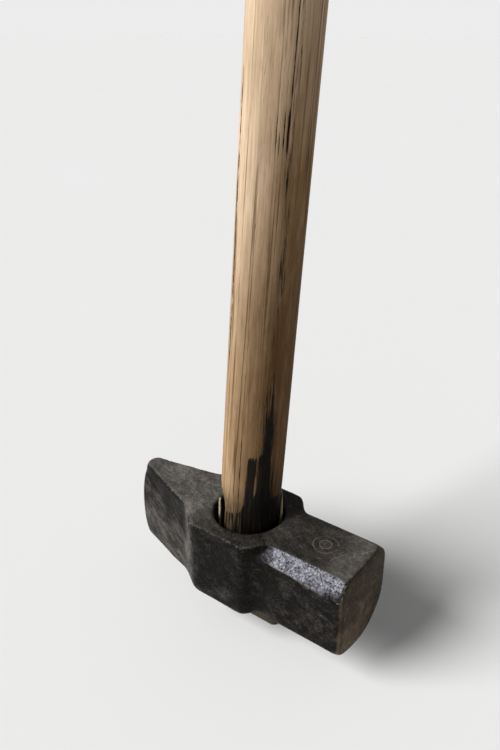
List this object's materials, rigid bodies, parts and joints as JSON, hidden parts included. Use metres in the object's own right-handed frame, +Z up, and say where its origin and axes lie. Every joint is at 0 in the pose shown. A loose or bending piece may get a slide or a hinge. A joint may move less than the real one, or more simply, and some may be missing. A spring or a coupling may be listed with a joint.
{
  "type": "blacksmith hammer",
  "caption": "Straight-peen forging hammer: dark forged steel head with a crowned, chamfered square face, wide cheeks and an upright peen, wedged on a round wooden handle.",
  "frame": {"origin": "on the eye's axis at the foot, in the sawn end of the wooden wedge that stands proud of the head's underside", "axes": "+Z up along the eye towards the grip, +X out of the striking face, +Y across the head; the peen's edge is parallel to the handle"},
  "size_m": [0.1574, 0.0568, 0.416],
  "materials": {
    "forged_steel": "dark forge scale worn by handling, with a bright dressed chamfer and a brownish struck face",
    "handle_wood": "raw, unvarnished, with dark grain lines and black paint running down near the head",
    "wedge_wood": "rough sawn, dirty",
    "shim_wood": "fresh split, raw",
    "wedge_steel": "dull, mushroomed by driving"
  },
  "bodies": {
    "root": {"hammer_head": "forged_steel", "handle": "handle_wood", "wooden_wedge": "wedge_wood", "steel_wedge_near": "wedge_steel", "steel_wedge_far": "wedge_steel", "shim_peen_side": "shim_wood", "shim_face_side": "shim_wood"}
  },
  "joints": []
}
